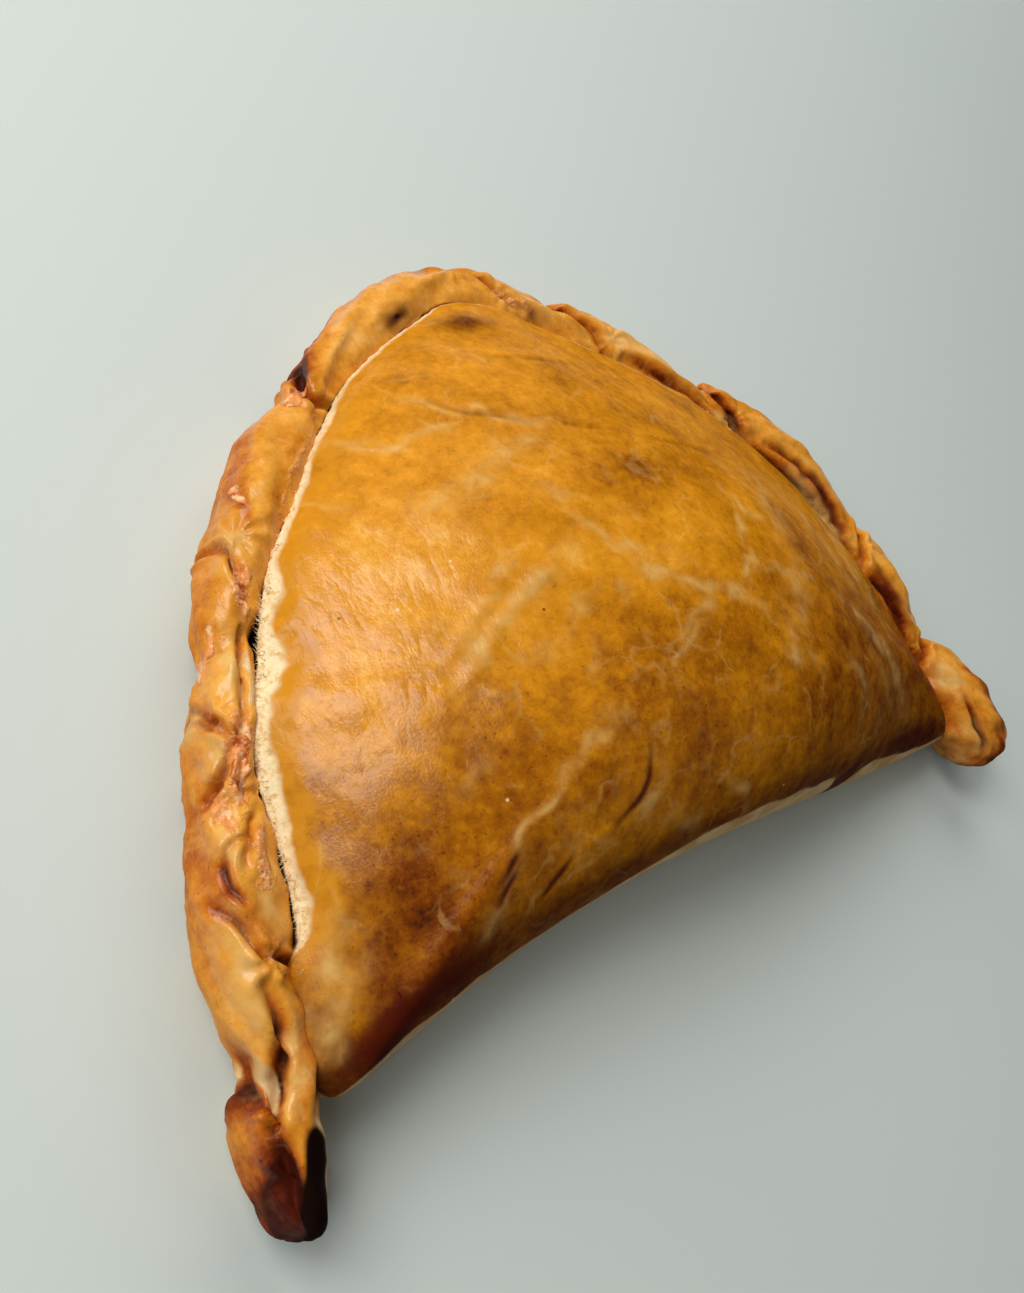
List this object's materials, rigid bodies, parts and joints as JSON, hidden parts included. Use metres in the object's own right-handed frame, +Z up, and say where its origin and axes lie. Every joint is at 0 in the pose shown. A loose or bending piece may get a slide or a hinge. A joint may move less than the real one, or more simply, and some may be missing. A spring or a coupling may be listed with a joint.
{
  "type": "pineapple empanada",
  "caption": "Baked half-moon empanada with a glossy egg-washed dome, a rounded fold and a hand-twisted rope edge with two tails.",
  "frame": {"origin": "middle of the plan box, on the flat base it rests on", "axes": "+Z up out of the dome, +X along the fold from the left tail to the right tail, +Y from the fold to the middle of the rope edge"},
  "size_m": [0.151, 0.1082, 0.0298],
  "materials": {
    "baked_crust": "egg-washed golden brown baked crust"
  },
  "bodies": {
    "root": {"crust": "baked_crust"}
  },
  "joints": []
}
